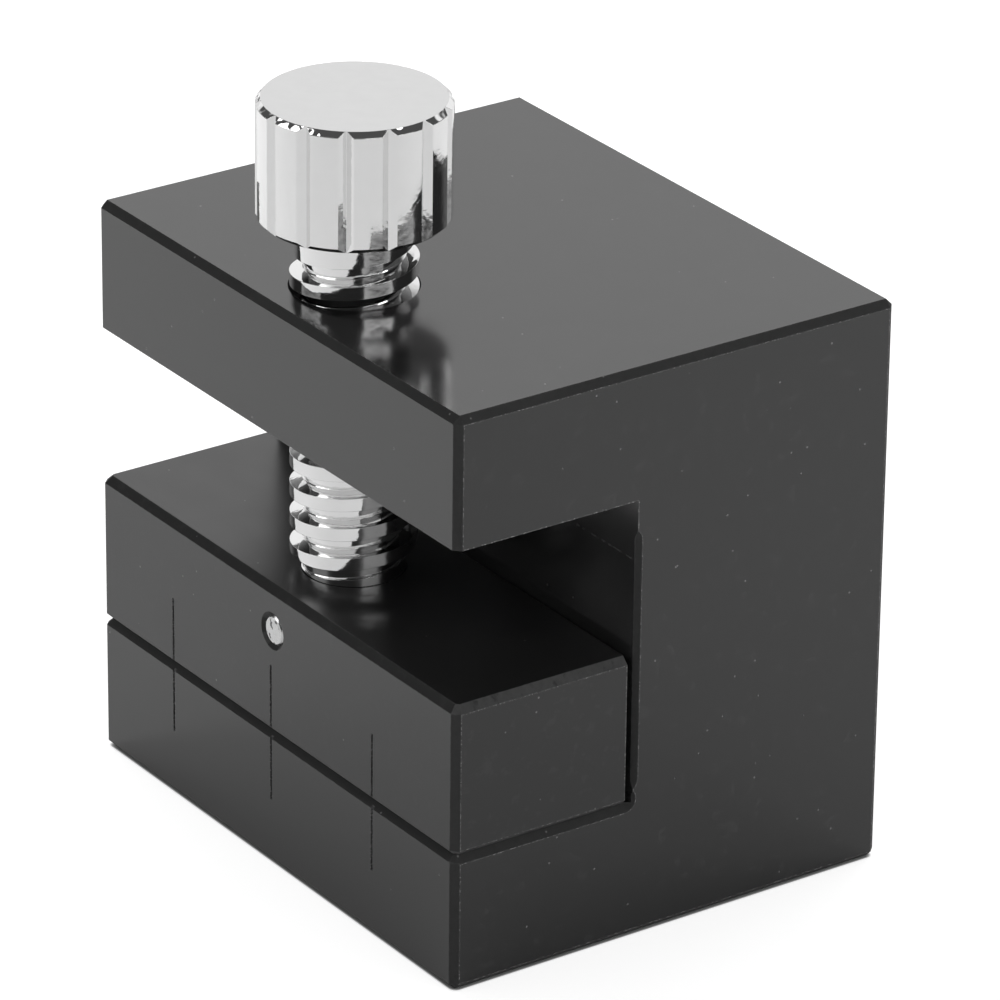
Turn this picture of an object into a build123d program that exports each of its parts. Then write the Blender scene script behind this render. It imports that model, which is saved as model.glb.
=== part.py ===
from build123d import *
import math
import os

# Watch band holder: a C-shaped block, a jaw that slides up and down in its slot, the
# screw that drives the jaw and the pin that ties the two together. Millimetres.
# The origin is the middle of the block's underside. -Y is the open front, +Z is up.

# Block
block_width = 39.8
block_depth = 32.1
block_height = 38.0
base_thickness = 9.15
arm_thickness = 8.57
slot_depth = 13.15
outer_chamfer = 0.45
floor_front_chamfer = 0.43

# Chamfers that a conical cutter leaves on the slot's edges at both end faces
cutter_radius = 0.8
cutter_reach = 0.6
wall_chamfer = 0.32
wall_chamfer_low_stop = 1.6
wall_chamfer_high_stop = 2.66
floor_end_chamfer = 0.5
corner_overcut = 0.2

# Jaw
jaw_height = 10.0
jaw_back_gap = 0.6
jaw_top_chamfer = 0.47
jaw_bottom_chamfer = 0.36

# Alignment marks, engraved across the line where jaw and base meet
mark_offset = -0.2
mark_spacing = 11.25
mark_reach = 4.65
mark_width = 0.22
mark_depth = 0.14

# Screw: knob, neck, trapezoidal thread and foot in one turned piece
screw_setback = 6.0
knob_diameter = 12.0
knob_height = 7.8
knob_lift = 4.45
knob_rim_chamfer = 0.33
flute_count = 14
flute_width = 0.98
flute_depth = 0.385
flute_angle = -38.5
neck_diameter = 7.3
neck_length = 2.5
thread_diameter = 7.92
thread_pitch = 2.0
thread_depth = 0.86
thread_crest_width = 0.85
thread_flank_angle = 15.0
thread_root_chamfer = 0.06
thread_lead_in = 2.23
thread_runout_share = 0.46
thread_stand_off = 1.05
thread_end_chamfer = 0.2
foot_diameter = 6.5
foot_length = 6.0
foot_chamfer = 0.4

# Pin that holds the screw's foot in the jaw
pin_diameter = 2.0
pin_drop = 2.95
pin_recess = 0.1
pin_end_chamfer = 0.12
pin_hole_countersink = 0.25
pin_groove_depth = 0.85

# Clearances and cutting overrun
thread_clearance = 0.09
flank_clearance = 0.07
socket_clearance = 0.05
thrust_gap = 0.05
pin_clearance = 0.01
pin_groove_clearance = 0.1
overrun = 1.0

# Places that the sizes above lead to
front_y = -block_depth / 2
wall_y = front_y + slot_depth
ceiling_z = block_height - arm_thickness
jaw_depth = slot_depth - jaw_back_gap
jaw_top_z = base_thickness + jaw_height
axis_y = front_y + screw_setback
screw_axis = Axis((0, axis_y, 0), (0, 0, 1))
screw_plane = Plane(origin=(0, axis_y, 0), x_dir=(1, 0, 0), z_dir=(0, -1, 0))
turning_plane = Plane(origin=(0, axis_y, 0), x_dir=(0, 1, 0), z_dir=(1, 0, 0))
front_plane = Plane(origin=(0, front_y, 0), x_dir=(1, 0, 0), z_dir=(0, -1, 0))
knob_base_z = block_height + knob_lift
knob_top_z = knob_base_z + knob_height
thread_top_z = knob_base_z - neck_length
thread_end_z = jaw_top_z + thread_stand_off
foot_end_z = jaw_top_z - foot_length
pin_z = jaw_top_z - pin_drop
crest_radius = thread_diameter / 2
root_radius = crest_radius - thread_depth
foot_radius = foot_diameter / 2
socket_radius = foot_radius + socket_clearance
groove_floor_radius = foot_radius - pin_groove_depth
flank_slope = math.tan(math.radians(thread_flank_angle))
groove_phase_z = block_height + thread_lead_in


def thread_profile(middle_z, *corners):
    """A profile in the screw's axial plane, at its +X side, from the (radius, half width) of its corners."""
    lower = [(radius, middle_z - half_width) for radius, half_width in corners]
    upper = [(radius, middle_z + half_width) for radius, half_width in reversed(corners)]
    return lower + upper


def stadium(from_y, to_y, from_z, to_z):
    """The outline that the conical cutter follows on an end face, by its two end centres."""
    length = math.hypot(to_y - from_y, to_z - from_z)
    turn = math.degrees(math.atan2(to_z - from_z, to_y - from_y))
    with Locations(((from_y + to_y) / 2, (from_z + to_z) / 2)):
        SlotCenterToCenter(length, 2 * cutter_radius, rotation=turn)


def mark_outlines(low_z, high_z):
    """The three marks between two heights on the front plane."""
    for step in (-1, 0, 1):
        with Locations((mark_offset + step * mark_spacing, (low_z + high_z) / 2)):
            Rectangle(mark_width, high_z - low_z)


# Frame: the block with its slot, edge chamfers, threaded hole and marks
with BuildPart() as frame:
    with BuildSketch(Plane.XY):
        Rectangle(block_width, block_depth)
    extrude(amount=block_height)
    chamfer(frame.edges(), length=outer_chamfer)

    # Slot through both ends, open to the front
    with BuildSketch(Plane.YZ.offset(-block_width / 2 - overrun)):
        with BuildLine():
            Polyline(
                (front_y - overrun, base_thickness),
                (wall_y, base_thickness),
                (wall_y, ceiling_z),
                (front_y - overrun, ceiling_z),
                close=True,
            )
        make_face()
    extrude(amount=block_width + 2 * overrun, mode=Mode.SUBTRACT)

    # Front edge of the slot's floor, with its two short corner edges
    slot_floor = frame.faces().filter_by(Axis.Z).sort_by(Axis.Z)[1]
    chamfer(slot_floor.edges().sort_by(Axis.Y)[:3], length=floor_front_chamfer)

    # Edges of the slot's wall and floor on both end faces
    wall_cut_y = wall_y + wall_chamfer - cutter_radius
    wall_cut_low_z = base_thickness + wall_chamfer_low_stop
    wall_cut_high_z = ceiling_z - wall_chamfer_high_stop
    floor_cut_y = wall_y + corner_overcut - cutter_radius
    floor_cut_z = base_thickness - floor_end_chamfer + cutter_radius
    for side in (-1, 1):
        with BuildSketch(Plane.YZ.offset(side * block_width / 2)):
            stadium(wall_cut_y, wall_cut_y, wall_cut_low_z, wall_cut_high_z)
        extrude(amount=-side * cutter_reach, taper=45, mode=Mode.SUBTRACT)
        with BuildSketch(Plane.YZ.offset(side * block_width / 2)):
            stadium(front_y - overrun, floor_cut_y, floor_cut_z, floor_cut_z)
        extrude(amount=-side * cutter_reach, taper=45, mode=Mode.SUBTRACT)

    # Bore of the threaded hole, countersunk to the thread's full width at both mouths
    bore_radius = root_radius + thread_clearance
    nut_radius = crest_radius + thread_clearance
    sink = nut_radius - bore_radius
    with BuildSketch(screw_plane):
        with BuildLine():
            Polyline(
                (0, ceiling_z - overrun),
                (nut_radius, ceiling_z - overrun),
                (nut_radius, ceiling_z),
                (bore_radius, ceiling_z + sink),
                (bore_radius, block_height - sink),
                (nut_radius, block_height),
                (nut_radius, block_height + overrun),
                (0, block_height + overrun),
                close=True,
            )
        make_face()
    revolve(axis=screw_axis, mode=Mode.SUBTRACT)

    # Helical groove that the screw's ridge runs in, one turn at a time
    nut_turns = math.ceil((groove_phase_z - ceiling_z) / thread_pitch) + 2
    nut_start_z = groove_phase_z - (nut_turns - 0.5) * thread_pitch
    ridge_half_width = thread_crest_width / 2 + flank_clearance
    for turn in range(nut_turns + 1):
        turn_z = nut_start_z + turn * thread_pitch
        with BuildLine() as nut_path:
            Helix(thread_pitch, thread_pitch, crest_radius, center=(0, axis_y, turn_z))
        nut_profile = thread_profile(
            turn_z,
            (root_radius, ridge_half_width + thread_depth * flank_slope),
            (nut_radius, ridge_half_width - thread_clearance * flank_slope),
        )
        with BuildSketch(screw_plane):
            with BuildLine():
                Polyline(*nut_profile, close=True)
            make_face()
        sweep(path=nut_path.line, is_frenet=True, mode=Mode.SUBTRACT)

    # Lower halves of the alignment marks
    with BuildSketch(front_plane):
        mark_outlines(base_thickness - mark_reach, base_thickness + overrun)
    extrude(amount=-mark_depth, mode=Mode.SUBTRACT)

# Jaw: the bar that the screw pushes down on the band
with BuildPart() as jaw:
    with BuildSketch(Plane.XY.offset(base_thickness)):
        with Locations((0, front_y + jaw_depth / 2)):
            Rectangle(block_width, jaw_depth)
    extrude(amount=jaw_height)
    chamfer(jaw.edges().filter_by(Axis.Z).sort_by(Axis.Y)[:2], length=outer_chamfer)
    chamfer(jaw.faces().sort_by(Axis.Z)[-1].edges().sort_by(Axis.Y)[:-1], length=jaw_top_chamfer)
    chamfer(jaw.faces().sort_by(Axis.Z)[0].edges().sort_by(Axis.Y)[:-1], length=jaw_bottom_chamfer)

    # Blind socket for the screw's foot
    with Locations((0, axis_y, jaw_top_z)):
        Hole(socket_radius, foot_length + thrust_gap)

    # Cross hole for the pin, from the front face into the socket
    with Locations(front_plane.offset(0) * Location((0, pin_z, 0))):
        CounterSinkHole(pin_diameter / 2, pin_diameter / 2 + pin_hole_countersink, screw_setback, 90)

    # Upper halves of the alignment marks
    with BuildSketch(front_plane):
        mark_outlines(base_thickness - overrun, base_thickness + mark_reach)
    extrude(amount=-mark_depth, mode=Mode.SUBTRACT)

# Clamp screw: fluted knob, neck, thread and grooved foot
with BuildPart() as clamp_screw:
    with BuildSketch(turning_plane):
        with BuildLine():
            Polyline(
                (0, foot_end_z),
                (foot_radius - foot_chamfer, foot_end_z),
                (foot_radius, foot_end_z + foot_chamfer),
                (foot_radius, pin_z - pin_diameter / 2 - pin_groove_clearance),
                (groove_floor_radius, pin_z - pin_diameter / 2 - pin_groove_clearance),
                (groove_floor_radius, pin_z + pin_diameter / 2 + pin_groove_clearance),
                (foot_radius, pin_z + pin_diameter / 2 + pin_groove_clearance),
                (foot_radius, thread_end_z),
                (crest_radius - thread_end_chamfer, thread_end_z),
                (crest_radius, thread_end_z + thread_end_chamfer),
                (crest_radius, thread_top_z),
                (neck_diameter / 2, thread_top_z),
                (neck_diameter / 2, knob_base_z),
                (knob_diameter / 2 - knob_rim_chamfer, knob_base_z),
                (knob_diameter / 2, knob_base_z + knob_rim_chamfer),
                (knob_diameter / 2, knob_top_z - knob_rim_chamfer),
                (knob_diameter / 2 - knob_rim_chamfer, knob_top_z),
                (0, knob_top_z),
                close=True,
            )
        make_face()
    revolve(axis=screw_axis)

    # Helical groove, one turn at a time, from the top of the foot to its run-out in the neck
    groove_turns = math.ceil((groove_phase_z - thread_end_z) / thread_pitch)
    mouth_half_width = (thread_pitch - thread_crest_width) / 2
    root_half_width = mouth_half_width - thread_depth * flank_slope
    for turn in range(groove_turns + 1):
        turn_z = groove_phase_z - (groove_turns - turn) * thread_pitch
        turn_share = 1 if turn < groove_turns else thread_runout_share
        with BuildLine() as groove_path:
            Helix(thread_pitch, turn_share * thread_pitch, crest_radius, center=(0, axis_y, turn_z))
        groove_profile = thread_profile(
            turn_z,
            (root_radius, root_half_width - thread_root_chamfer),
            (root_radius + thread_root_chamfer, root_half_width + thread_root_chamfer * flank_slope),
            (crest_radius + thread_depth, mouth_half_width + thread_depth * flank_slope),
        )
        with BuildSketch(screw_plane):
            with BuildLine():
                Polyline(*groove_profile, close=True)
            make_face()
        sweep(path=groove_path.line, is_frenet=True, mode=Mode.SUBTRACT)

    # V-shaped flutes round the knob
    with BuildSketch(Plane.XY.offset(knob_base_z)):
        with Locations((0, axis_y)):
            with PolarLocations(knob_diameter / 2, flute_count, start_angle=flute_angle):
                Polygon((-flute_depth, 0), (0, -flute_width / 2), (0, flute_width / 2), align=None)
    extrude(amount=knob_height, mode=Mode.SUBTRACT)

# Retaining pin: pressed into the jaw, its tip in the foot's groove
with BuildPart() as retaining_pin:
    pin_length = screw_setback - groove_floor_radius - pin_groove_clearance - pin_recess
    with BuildSketch(front_plane.offset(-pin_recess)):
        with Locations((0, pin_z)):
            Circle(pin_diameter / 2 - pin_clearance)
    extrude(amount=-pin_length)
    chamfer(retaining_pin.edges().filter_by(GeomType.CIRCLE), length=pin_end_chamfer)

pieces = {"frame": frame, "jaw": jaw, "clamp_screw": clamp_screw, "retaining_pin": retaining_pin}
os.makedirs("parts", exist_ok=True)
for name, piece in pieces.items():
    piece.part.label = name
    export_step(piece.part, f"parts/{name}.step")
    print(name, round(piece.part.volume, 1))
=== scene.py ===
"""Looks of the watch band holder: black anodised block and jaw, plated screw, steel pin.

Lengths are metres in the row frame: +Z up, -Y towards the open front of the slot.
"""

import math

import bpy
from mathutils import Matrix, Vector


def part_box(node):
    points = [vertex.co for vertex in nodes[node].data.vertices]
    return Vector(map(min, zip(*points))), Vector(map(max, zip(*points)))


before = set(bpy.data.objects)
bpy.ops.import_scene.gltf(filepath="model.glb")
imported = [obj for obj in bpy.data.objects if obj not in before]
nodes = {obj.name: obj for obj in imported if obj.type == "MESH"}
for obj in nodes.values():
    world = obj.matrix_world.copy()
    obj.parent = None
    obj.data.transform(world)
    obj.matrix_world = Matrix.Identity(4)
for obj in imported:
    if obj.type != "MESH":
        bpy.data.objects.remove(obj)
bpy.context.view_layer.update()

MM = 0.001

# The block and the screw as the frame gives them
block_low, block_high = (Vector(corner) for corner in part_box("frame"))
screw_high = Vector(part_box("clamp_screw")[1])

# Places on the block that its material follows: the slot's rear wall and the scribed marks
SLOT_DEPTH, WALL_BAND = 13.15 * MM, 0.02 * MM
MARK_PLACES = (-11.45 * MM, -0.2 * MM, 11.05 * MM)
MARK_REACH, MARK_SKIN, MARK_DEPTH = 0.13 * MM, 0.01 * MM, 0.2 * MM
wall_y = block_low.y + SLOT_DEPTH

# The cutter's line along the wall shows only towards the right end, and below it the wall grows lighter low
# down as painted light
TOOL_LINE_Z, TOOL_LINE_REACH = 25.4 * MM, 0.05 * MM
TOOL_LINE_FADE = (8 * MM, 18 * MM)
CUT_STEP, WALL_PAINTED_LIGHT_Z = 0.1 * MM, 19.6 * MM

# How a face lies, from the shares of the axes in its direction
SQUARE, FACING, LEANING = 0.985, 0.9, 0.3

# Rounding of the edges for the light, and the reach of their wear and painted highlight
EDGE_RADIUS, WEAR_HIGHLIGHT_REACH = 0.07 * MM, 0.16 * MM
EDGE_SAMPLES, WEAR_HIGHLIGHT_SAMPLES = 6, 8
WEAR_HIGHLIGHT_AGREEMENT = (0.998, 0.97)
WEAR_HIGHLIGHT_OFF_THE_ENDS = 0.3

# Noise patterns on the anodising: size of the pattern, detail, and the range that counts.
# The dust: spacing, radius, and share of the places that have a speck.
MOTTLE, MOTTLE_RANGE = (2.5 * MM, 4.0), (0.3, 0.7)
GRAIN = (0.09 * MM, 2.0)
RUBBED = (0.4 * MM, 3.0)
WEAR_HIGHLIGHT_PATTERN, WEAR_HIGHLIGHT_RANGE = (0.3 * MM, 3.0), (0.38, 0.64)
BURR_GLINT_PATTERN, BURR_GLINT_RANGE = (0.14 * MM, 1.0), (0.56, 0.63)
NICKS, NICK_RANGE = (0.25 * MM, 2.0), (0.42, 0.58)
SMUDGES, SMUDGE_RANGE = (0.7 * MM, 6.0), (0.56, 0.7)
DUST = (1.3 * MM, 0.09 * MM, 0.35)

# Finish of the anodising: gloss, index, fine bumps, and base colours as plain greys. Some greys are painted
# light
# and shade: the ends darker, the chamfers towards the ends and the low wall lighter, and highlights along
# the edges
GRAIN_ROUGHNESS, WALL_ROUGHNESS, CHAMFER_ROUGHNESS = 0.03, 0.17, 0.85
ANODISED_INDEX = 1.7
GRAIN_STRENGTH, GRAIN_DEPTH = 0.5, 0.0012 * MM
FACE_SHADES, END_PAINTED_SHADES, END_CHAMFER_PAINTED_LIGHT = (0.006, 0.007), (0.001, 0.002), (0.008, 0.024)
TOP_SPREAD, CHAMFER_SPREAD, LEDGE_HIGHLIGHT_SPREAD = (0.92, 1.08), (0.6, 1.4), (0.5, 1.5)
WALL_PAINTED_LIGHT_SHADES, CUT_SHADE = (0.04, 0.006), 0.003
TOOL_LINE_SHADE, MARK_SHADE, SMUDGE_SHADE = 0.08, 0.09, 0.011
WORN_AND_HIGHLIGHT_SHADE, BURR_AND_GLINT_SHADE, DUST_SHADE = 0.1, 0.3, 0.16

# The two anodised pieces: roughness from and to, then the mean shades of the chamfers, of the top, and of
# the chamfers between an end and the top or underside. The jaw's top shade is raised as painted light, and
# the shade of those end chamfers is a painted highlight
FRAME_FINISH_AND_LIGHT = ((0.12, 0.15), 0.006, 0.0065, 0.016)
JAW_FINISH_AND_LIGHT = ((0.27, 0.3), 0.003, 0.013, 0.05)

# Plating: edge rounding, the knob's rim, and the noise patterns with their depths
PLATED_EDGE_RADIUS = 0.04 * MM
RIM_CHAMFER, RIM_SHARE, RIM_SHARE_REACH, TOP_SHARE = 0.31 * MM, 0.7, 0.2, 0.95
# The knob's flat top is darker as painted shade
PLATED_SHADES, KNOB_TOP_PAINTED_SHADES = (0.86, 0.81), (0.715, 0.685)
PLATED_ROUGHNESS = (0.04, 0.09)
CLOUD, CLOUD_RANGE = (1.2 * MM, 3.0), (0.3, 0.7)
WAVES, WAVE_DEPTH = (0.5 * MM, 1.0), 0.008
LUMPS, LUMP_DEPTH = (1.0 * MM, 1.0), 0.28
TURNED_STRETCH, TURNED = (0.15, 0.15, 1.0), (0.07 * MM, 2.0)
TURNED_STRENGTH, TURNED_DEPTH = 0.4, 0.002 * MM

# The pin's sheared end
PIN_NICKS, PIN_NICK_RANGE, PIN_NICK_SHADE = (0.5 * MM, 2.0), (0.6, 0.66), 0.1
PIN_STRETCH, PIN_SCRATCHES, PIN_SCRATCH_RANGE = (1.0, 1.0, 0.2), (0.06 * MM, 2.0), (0.3, 0.7)
PIN_SHADES, PIN_ROUGHNESS, PIN_STRENGTH, PIN_DEPTH = (0.6, 0.75), (0.18, 0.3), 0.4, 0.003 * MM

# The photograph's camera, solved from the block's edges
CAMERA_PLACE = Vector((335.11, -232.57, 211.87)) * MM
CAMERA_YAW, CAMERA_PITCH, CAMERA_ROLL = 55.137, 25.079, 0.648
CAMERA_LENS, SENSOR = 260.19, 36.0
CAMERA_CLIP = (0.01, 10)

# Studio: a white floor, a white wall behind at the left and dark all round otherwise
FLOOR_SIZE, FLOOR_ALBEDO = 3.0, 0.9
FLOOR_SEEN_ALBEDO, FLOOR_SEEN_GLOW = 0.42, 0.8
CONTACT_REACH, CONTACT_SAMPLES, CONTACT_ALBEDO = 0.27 * MM, 16, 0.35
DARK_LEVEL, WALL_LEVEL, WALL_AZIMUTH = 0.08, 0.97, 140.0
WALL_EDGE, WALL_FULL = 0.52, 0.82
WALL_TOP, WALL_END = 0.43, 0.78

# Two soft boxes, then the fill lamps that stay out of the reflections:
# azimuth, elevation, distance, size, watts
RIGHT_BOX = (11, 37.5, 0.8, (0.746, 0.355), 2.35)
LEFT_BOX = (-118, 37.5, 0.8, (0.567, 0.355), 1.3)
FILLS = {
    "left_fill": (-165, 20, 0.6, (0.3, 0.3), 1.16),
    "left_near_fill": (-178, 28, 0.35, (0.2, 0.2), 0.22),
    "back_left_fill": (165, 45, 0.35, (0.2, 0.2), 0.17),
    "back_fill": (105, 45, 0.35, (0.2, 0.2), 0.28),
    "back_far_fill": (90, 40, 1.2, (0.9, 0.9), 1.6),
    "right_fill": (60, 20, 0.6, (0.3, 0.3), 0.1),
}


def add_camera():
    """The camera at its solved place, turned by yaw, pitch and roll."""
    yaw, pitch, roll = (math.radians(v) for v in (CAMERA_YAW, CAMERA_PITCH, CAMERA_ROLL))
    flat = math.cos(pitch)
    back = Vector((math.sin(yaw) * flat, -math.cos(yaw) * flat, math.sin(pitch)))
    level = Vector((math.cos(yaw), math.sin(yaw), 0))
    upright = back.cross(level)
    right = math.cos(roll) * level + math.sin(roll) * upright
    up = math.cos(roll) * upright - math.sin(roll) * level
    data = bpy.data.cameras.new("camera")
    data.lens, data.sensor_width = CAMERA_LENS, SENSOR
    data.clip_start, data.clip_end = CAMERA_CLIP
    camera = bpy.data.objects.new("camera", data)
    bpy.context.scene.collection.objects.link(camera)
    turn = Matrix((right, up, back)).transposed().to_4x4()
    camera.matrix_world = Matrix.Translation(CAMERA_PLACE) @ turn
    bpy.context.scene.camera = camera


def grey(level):
    """The grey as a colour with full alpha."""
    return (level, level, level, 1)


class Nodes:
    """A node tree with short ways to add and join nodes."""

    def __init__(self, tree):
        self.tree = tree
        tree.nodes.clear()

    def add(self, kind, inputs=None, **settings):
        node = self.tree.nodes.new(kind)
        for name, value in settings.items():
            setattr(node, name, value)
        for name, value in (inputs or {}).items():
            socket = node.inputs[name]
            if isinstance(value, bpy.types.NodeSocket):
                self.tree.links.new(value, socket)
            else:
                socket.default_value = value
        return node

    def math(self, operation, *values):
        return self.add("ShaderNodeMath", dict(enumerate(values)), operation=operation).outputs[0]

    def ramp(self, value, low, high, first=0.0, last=1.0):
        """Goes smoothly from first to last as the value goes from low to high."""
        inputs = {"Value": value, "From Min": low, "From Max": high, "To Min": first, "To Max": last}
        return self.add("ShaderNodeMapRange", inputs, interpolation_type="SMOOTHSTEP").outputs["Result"]

    def noise(self, place, size, detail):
        inputs = {"Vector": place, "Scale": 1 / size, "Detail": detail}
        return self.add("ShaderNodeTexNoise", inputs).outputs["Fac"]

    def stretched(self, place, scale):
        """The place with each axis scaled by itself, so that a pattern runs along one of them."""
        return self.add("ShaderNodeMapping", {"Vector": place, "Scale": scale}).outputs["Vector"]

    def facing(self):
        """Shares of the three axes in the face's own direction."""
        normal = self.add("ShaderNodeTexCoord").outputs["Normal"]
        parts = self.add("ShaderNodeSeparateXYZ", {"Vector": normal}).outputs
        return [self.math("ABSOLUTE", part) for part in parts]

    def within(self, value, middle, reach):
        """1 where the value is no further than reach from the middle, otherwise 0."""
        away = self.math("ABSOLUTE", self.math("SUBTRACT", value, middle))
        return self.math("LESS_THAN", away, reach)

    def specks(self, place, spacing, radius, share):
        """Small dots at about that spacing, in only a share of the cells."""
        cells = self.add("ShaderNodeTexVoronoi", {"Vector": place, "Scale": 1 / spacing})
        dots = self.ramp(cells.outputs["Distance"], radius / spacing, 0.5 * radius / spacing)
        pick = self.add("ShaderNodeSeparateColor", {"Color": cells.outputs["Color"]}).outputs["Red"]
        return self.math("MULTIPLY", dots, self.math("LESS_THAN", pick, share))

    def mix(self, factor, first, last):
        """Blends two greys or colours, each a number or a socket."""
        node = self.add("ShaderNodeMix", data_type="RGBA")
        sockets = [socket for socket in node.inputs if socket.enabled]
        for socket, value in zip(sockets, (factor, first, last)):
            if isinstance(value, bpy.types.NodeSocket):
                self.tree.links.new(value, socket)
            else:
                socket.default_value = grey(value)
        return next(socket for socket in node.outputs if socket.enabled)

    def bevel(self, radius, samples):
        """The surface's direction with its edges rounded."""
        return self.add("ShaderNodeBevel", {"Radius": radius}, samples=samples).outputs["Normal"]

    def bump(self, height, strength, depth, normal=None):
        inputs = {"Height": height, "Strength": strength, "Distance": depth}
        if normal is not None:
            inputs["Normal"] = normal
        return self.add("ShaderNodeBump", inputs).outputs["Normal"]

    def finish(self, shader):
        """Joins the shader to the material's output."""
        self.add("ShaderNodeOutputMaterial", {"Surface": shader.outputs[0]})


def spread(shares, shade):
    """The darkest and the lightest shade round a mean one."""
    return [share * shade for share in shares]


def material(name):
    made = bpy.data.materials.new(name)
    made.use_nodes = True
    return made, Nodes(made.node_tree)


def scribed(n, x, y, chamfered):
    """1 in the marks' grooves, which lie a little way behind the block's front."""
    in_marks = 0.0
    for mark_x in MARK_PLACES:
        in_marks = n.math("MAXIMUM", in_marks, n.within(x, mark_x, MARK_REACH))
    sunk = n.math("GREATER_THAN", y, block_low.y + MARK_SKIN)
    shallow = n.math("LESS_THAN", y, block_low.y + MARK_DEPTH)
    in_marks = n.math("MULTIPLY", in_marks, n.math("MULTIPLY", sunk, shallow))
    return n.math("MULTIPLY", in_marks, n.math("SUBTRACT", 1.0, chamfered))


def wall_shade_and_painted_light(n, z):
    """The slot's wall is lighter low down as painted light in its shade, and a little lighter above the
    cutter's line.
    """
    above = n.ramp(z, TOOL_LINE_Z, TOOL_LINE_Z + CUT_STEP, 0.0, CUT_SHADE)
    return n.math("ADD", above, n.ramp(z, WALL_PAINTED_LIGHT_Z, TOOL_LINE_Z, *WALL_PAINTED_LIGHT_SHADES))


def cutter_line(n, place, x, z, on_wall):
    """The line that the cutter left along the slot's wall, broken by nicks."""
    line = n.math("MULTIPLY", on_wall, n.within(z, TOOL_LINE_Z, TOOL_LINE_REACH))
    line = n.math("MULTIPLY", line, n.ramp(n.noise(place, *NICKS), *NICK_RANGE))
    return n.math("MULTIPLY", line, n.ramp(x, *TOOL_LINE_FADE))


def edge_wear_and_highlight(n, place, at_end):
    """Wear and burrs at the edges, partly real and partly a painted highlight, where a wide rounding leaves
    the face's own direction.
    """
    own = n.add("ShaderNodeNewGeometry").outputs["Normal"]
    directions = {0: n.bevel(WEAR_HIGHLIGHT_REACH, WEAR_HIGHLIGHT_SAMPLES), 1: own}
    agreement = n.add("ShaderNodeVectorMath", directions, operation="DOT_PRODUCT").outputs["Value"]
    border = n.ramp(agreement, *WEAR_HIGHLIGHT_AGREEMENT)
    worn_and_highlit = n.math("MULTIPLY", border, n.ramp(n.noise(place, *WEAR_HIGHLIGHT_PATTERN), *WEAR_HIGHLIGHT_RANGE))
    worn_and_highlit = n.math("MULTIPLY", worn_and_highlit, n.ramp(at_end, 0.0, 1.0, WEAR_HIGHLIGHT_OFF_THE_ENDS, 1.0))
    burr_and_glint = n.math("MULTIPLY", border, at_end)
    burr_and_glint = n.math("MULTIPLY", burr_and_glint, n.ramp(n.noise(place, *BURR_GLINT_PATTERN), *BURR_GLINT_RANGE))
    return worn_and_highlit, burr_and_glint


def anodised_gloss(n, mottle, grain, chamfered, on_wall, gloss_range):
    """Roughness: the chamfers are dull, and the slot's wall is a little duller than the frame's faces."""
    gloss = n.ramp(mottle, *MOTTLE_RANGE, *gloss_range)
    roughness = n.math("MULTIPLY_ADD", grain, GRAIN_ROUGHNESS, gloss)
    roughness = n.math("MAXIMUM", roughness, n.math("MULTIPLY", on_wall, WALL_ROUGHNESS))
    return n.math("MAXIMUM", roughness, n.math("MULTIPLY", chamfered, CHAMFER_ROUGHNESS))


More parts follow.
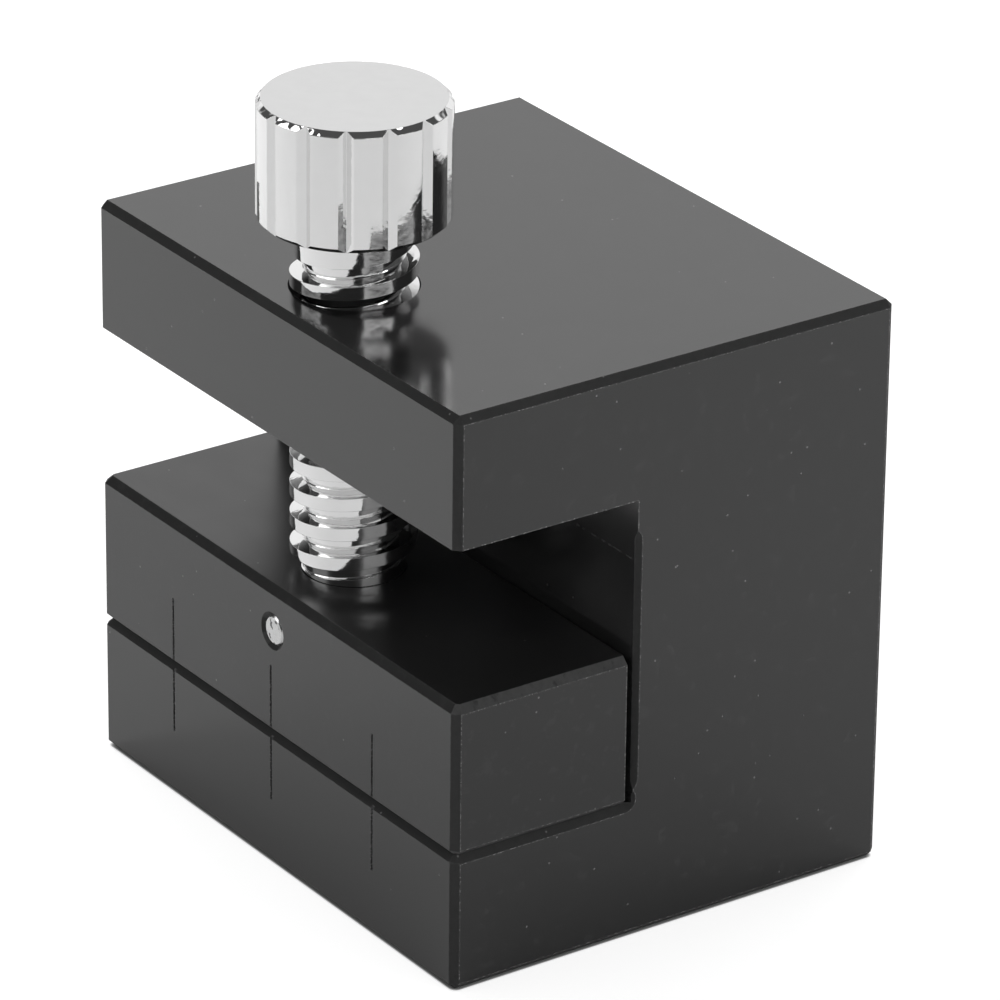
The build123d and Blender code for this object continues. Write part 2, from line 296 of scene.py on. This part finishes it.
def anodised(name, gloss_range, chamfer_shade, top_shade_and_light, ledge_highlight_shade):
    """Semi-gloss black anodising over a fine blasted surface, dull on the chamfers, with wear at the edges;
    its greys also paint shade on the ends and light on the end chamfers, the jaw's top, the low wall and
    along the edges.
    """
    made, n = material(name)
    place = n.add("ShaderNodeTexCoord").outputs["Object"]
    x, y, z = n.add("ShaderNodeSeparateXYZ", {"Vector": place}).outputs
    along, across, upright = n.facing()
    squareness = n.math("MAXIMUM", n.math("MAXIMUM", along, across), upright)
    chamfered = n.math("LESS_THAN", squareness, SQUARE)
    at_end = n.math("GREATER_THAN", along, FACING)
    on_top = n.math("GREATER_THAN", upright, FACING)
    turned_to_end = n.math("MULTIPLY", chamfered, n.math("GREATER_THAN", along, LEANING))
    ledge_highlight_mask = n.math("MULTIPLY", turned_to_end, n.math("GREATER_THAN", upright, LEANING))
    on_wall = n.math("MULTIPLY", n.within(y, wall_y, WALL_BAND), n.math("GREATER_THAN", across, FACING))
    mottle, grain, rubbed = (n.noise(place, *pattern) for pattern in (MOTTLE, GRAIN, RUBBED))

    # Faces, top, ends, chamfers and wall. Painted shade darkens the ends; painted light lifts the jaw's top,
    # the chamfers towards the ends and the low wall, and gives the chamfers between an end and the top a
    # highlight
    shade = n.mix(mottle, *FACE_SHADES)
    shade = n.mix(on_top, shade, n.mix(mottle, *spread(TOP_SPREAD, top_shade_and_light)))
    shade = n.mix(at_end, shade, n.mix(mottle, *END_PAINTED_SHADES))
    shade = n.mix(chamfered, shade, n.mix(rubbed, *spread(CHAMFER_SPREAD, chamfer_shade)))
    shade = n.mix(turned_to_end, shade, n.mix(rubbed, *END_CHAMFER_PAINTED_LIGHT))
    # The chamfers between an end and the top or underside get a painted highlight
    shade = n.mix(ledge_highlight_mask, shade, n.mix(rubbed, *spread(LEDGE_HIGHLIGHT_SPREAD, ledge_highlight_shade)))
    shade = n.mix(on_wall, shade, wall_shade_and_painted_light(n, z))

    # What lies on them, each over the one before; the edge wear and burrs are partly a painted highlight
    worn_and_highlit, burr_and_glint = edge_wear_and_highlight(n, place, at_end)
    shade = n.mix(cutter_line(n, place, x, z, on_wall), shade, TOOL_LINE_SHADE)
    shade = n.mix(scribed(n, x, y, chamfered), shade, MARK_SHADE)
    shade = n.mix(n.ramp(n.noise(place, *SMUDGES), *SMUDGE_RANGE), shade, SMUDGE_SHADE)
    shade = n.mix(worn_and_highlit, shade, WORN_AND_HIGHLIGHT_SHADE)
    shade = n.mix(burr_and_glint, shade, BURR_AND_GLINT_SHADE)
    shade = n.mix(n.specks(place, *DUST), shade, DUST_SHADE)
    inputs = {
        "Base Color": shade,
        "Roughness": anodised_gloss(n, mottle, grain, chamfered, on_wall, gloss_range),
        "IOR": ANODISED_INDEX,
        "Normal": n.bump(grain, GRAIN_STRENGTH, GRAIN_DEPTH, n.bevel(EDGE_RADIUS, EDGE_SAMPLES)),
    }
    n.finish(n.add("ShaderNodeBsdfPrincipled", inputs, distribution="GGX"))
    return made


def plated(name):
    """Bright uneven plating over a turned surface, with lumps on the knob's rim and a knob top darkened as
    painted shade.
    """
    made, n = material(name)
    place = n.add("ShaderNodeTexCoord").outputs["Object"]
    height = n.add("ShaderNodeSeparateXYZ", {"Vector": place}).outputs["Z"]
    normal = n.add("ShaderNodeTexCoord").outputs["Normal"]
    upward = n.add("ShaderNodeSeparateXYZ", {"Vector": normal}).outputs["Z"]
    at_top = n.math("GREATER_THAN", height, screw_high.z - RIM_CHAMFER)
    flat_top = n.math("MULTIPLY", at_top, n.math("GREATER_THAN", upward, TOP_SHARE))
    on_rim = n.math("MULTIPLY", at_top, n.within(upward, RIM_SHARE, RIM_SHARE_REACH))
    cloud = n.noise(place, *CLOUD)
    waves = n.math("MULTIPLY", n.noise(place, *WAVES), WAVE_DEPTH)
    lumps = n.math("MULTIPLY", on_rim, n.math("MULTIPLY", n.noise(place, *LUMPS), LUMP_DEPTH))
    uneven = n.bump(n.math("ADD", waves, lumps), 1.0, MM, n.bevel(PLATED_EDGE_RADIUS, EDGE_SAMPLES))
    streaks = n.noise(n.stretched(place, TURNED_STRETCH), *TURNED)
    inputs = {
        "Base Color": n.mix(flat_top, n.mix(cloud, *PLATED_SHADES), n.mix(cloud, *KNOB_TOP_PAINTED_SHADES)),
        "Roughness": n.ramp(cloud, *CLOUD_RANGE, *PLATED_ROUGHNESS),
        "Metallic": 1.0,
        "Normal": n.bump(streaks, TURNED_STRENGTH, TURNED_DEPTH, uneven),
    }
    n.finish(n.add("ShaderNodeBsdfPrincipled", inputs))
    return made


def steel(name):
    """The pin's sheared end: satin steel with dark nicks."""
    made, n = material(name)
    place = n.add("ShaderNodeTexCoord").outputs["Object"]
    nicks = n.ramp(n.noise(place, *PIN_NICKS), *PIN_NICK_RANGE)
    scratches = n.noise(n.stretched(place, PIN_STRETCH), *PIN_SCRATCHES)
    inputs = {
        "Base Color": n.mix(nicks, n.mix(scratches, *PIN_SHADES), PIN_NICK_SHADE),
        "Roughness": n.ramp(scratches, *PIN_SCRATCH_RANGE, *PIN_ROUGHNESS),
        "Metallic": 1.0,
        "Normal": n.bump(scratches, PIN_STRENGTH, PIN_DEPTH),
    }
    n.finish(n.add("ShaderNodeBsdfPrincipled", inputs))
    return made


def dress(name, made):
    """Gives the CAD node its material."""
    data = nodes[name].data
    data.materials.clear()
    data.materials.append(made)


def add_floor():
    """A white floor: matt for the light, and pale with a soft contact shadow for the camera."""
    mesh = bpy.data.meshes.new("floor")
    corners = [(x * FLOOR_SIZE, y * FLOOR_SIZE, 0) for x, y in ((-1, -1), (1, -1), (1, 1), (-1, 1))]
    mesh.from_pydata(corners, [], [(0, 1, 2, 3)])
    floor = bpy.data.objects.new("floor", mesh)
    bpy.context.scene.collection.objects.link(floor)
    made, n = material("pale_floor")
    rays = n.add("ShaderNodeLightPath")
    seen = n.math("MAXIMUM", rays.outputs["Is Camera Ray"], rays.outputs["Is Transmission Ray"])
    matt = n.add("ShaderNodeBsdfDiffuse", {"Color": grey(FLOOR_ALBEDO)})
    shaded = n.add("ShaderNodeBsdfDiffuse", {"Color": grey(FLOOR_SEEN_ALBEDO)})
    glow = n.add("ShaderNodeEmission", {"Color": grey(1), "Strength": FLOOR_SEEN_GLOW})
    white = n.add("ShaderNodeAddShader", {0: shaded.outputs[0], 1: glow.outputs[0]})
    around = n.add("ShaderNodeAmbientOcclusion", {"Distance": CONTACT_REACH}, samples=CONTACT_SAMPLES)
    openness = around.outputs["AO"]
    dark = n.add("ShaderNodeBsdfDiffuse", {"Color": grey(CONTACT_ALBEDO)})

    # A wall leaves half of the sky open at its foot, so the contact shadow goes from half to fully open
    contact = n.math("MULTIPLY_ADD", openness, 2.0, -1.0)
    white = n.add("ShaderNodeMixShader", {0: contact, 1: dark.outputs[0], 2: white.outputs[0]})
    n.finish(n.add("ShaderNodeMixShader", {0: seen, 1: matt.outputs[0], 2: white.outputs[0]}))
    mesh.materials.append(made)


def add_world():
    """The studio round the object, white for camera and transmission rays."""
    world = bpy.data.worlds.new("studio")
    bpy.context.scene.world = world
    world.use_nodes = True
    n = Nodes(world.node_tree)
    rays = n.add("ShaderNodeLightPath")
    seen = n.math("MAXIMUM", rays.outputs["Is Camera Ray"], rays.outputs["Is Transmission Ray"])
    direction = n.add("ShaderNodeTexCoord").outputs["Generated"]
    height = n.add("ShaderNodeSeparateXYZ", {"Vector": direction}).outputs["Z"]
    angle = math.radians(WALL_AZIMUTH)
    wall = (math.cos(angle), math.sin(angle), 0)
    towards_wall = n.add("ShaderNodeVectorMath", {0: direction, 1: wall}, operation="DOT_PRODUCT")
    low = n.ramp(towards_wall.outputs["Value"], WALL_EDGE, WALL_FULL, DARK_LEVEL, WALL_LEVEL)
    level = n.ramp(height, WALL_TOP, WALL_END, low, DARK_LEVEL)
    soft = n.add("ShaderNodeBackground", {"Color": grey(1), "Strength": level})
    white = n.add("ShaderNodeBackground", {"Color": grey(1), "Strength": 1.0})
    mixed = n.add("ShaderNodeMixShader", {0: seen, 1: soft.outputs[0], 2: white.outputs[0]})
    n.add("ShaderNodeOutputWorld", {"Surface": mixed.outputs[0]})


def add_lamp(name, azimuth, elevation, distance, size, watts):
    """A rectangular soft box that faces the object, azimuth from +X towards +Y."""
    azimuth, elevation = math.radians(azimuth), math.radians(elevation)
    flat = math.cos(elevation)
    away = Vector((math.cos(azimuth) * flat, math.sin(azimuth) * flat, math.sin(elevation)))
    target = Vector((0, 0, block_high.z / 2))
    data = bpy.data.lights.new(name, "AREA")
    data.shape, data.size, data.size_y, data.energy = "RECTANGLE", size[0], size[1], watts
    lamp = bpy.data.objects.new(name, data)
    bpy.context.scene.collection.objects.link(lamp)
    lamp.location = target + distance * away
    lamp.rotation_mode = "QUATERNION"
    lamp.rotation_quaternion = (-away).to_track_quat("-Z", "Y")
    return lamp


add_camera()
add_world()
add_floor()
add_lamp("right_box", *RIGHT_BOX)
add_lamp("left_box", *LEFT_BOX)
for fill, place in FILLS.items():
    add_lamp(fill, *place).visible_glossy = False
dress("frame", anodised("anodised_frame", *FRAME_FINISH_AND_LIGHT))
dress("jaw", anodised("anodised_jaw", *JAW_FINISH_AND_LIGHT))
dress("clamp_screw", plated("plated_screw"))
dress("retaining_pin", steel("steel_pin"))
bpy.context.scene.view_settings.view_transform = "Standard"
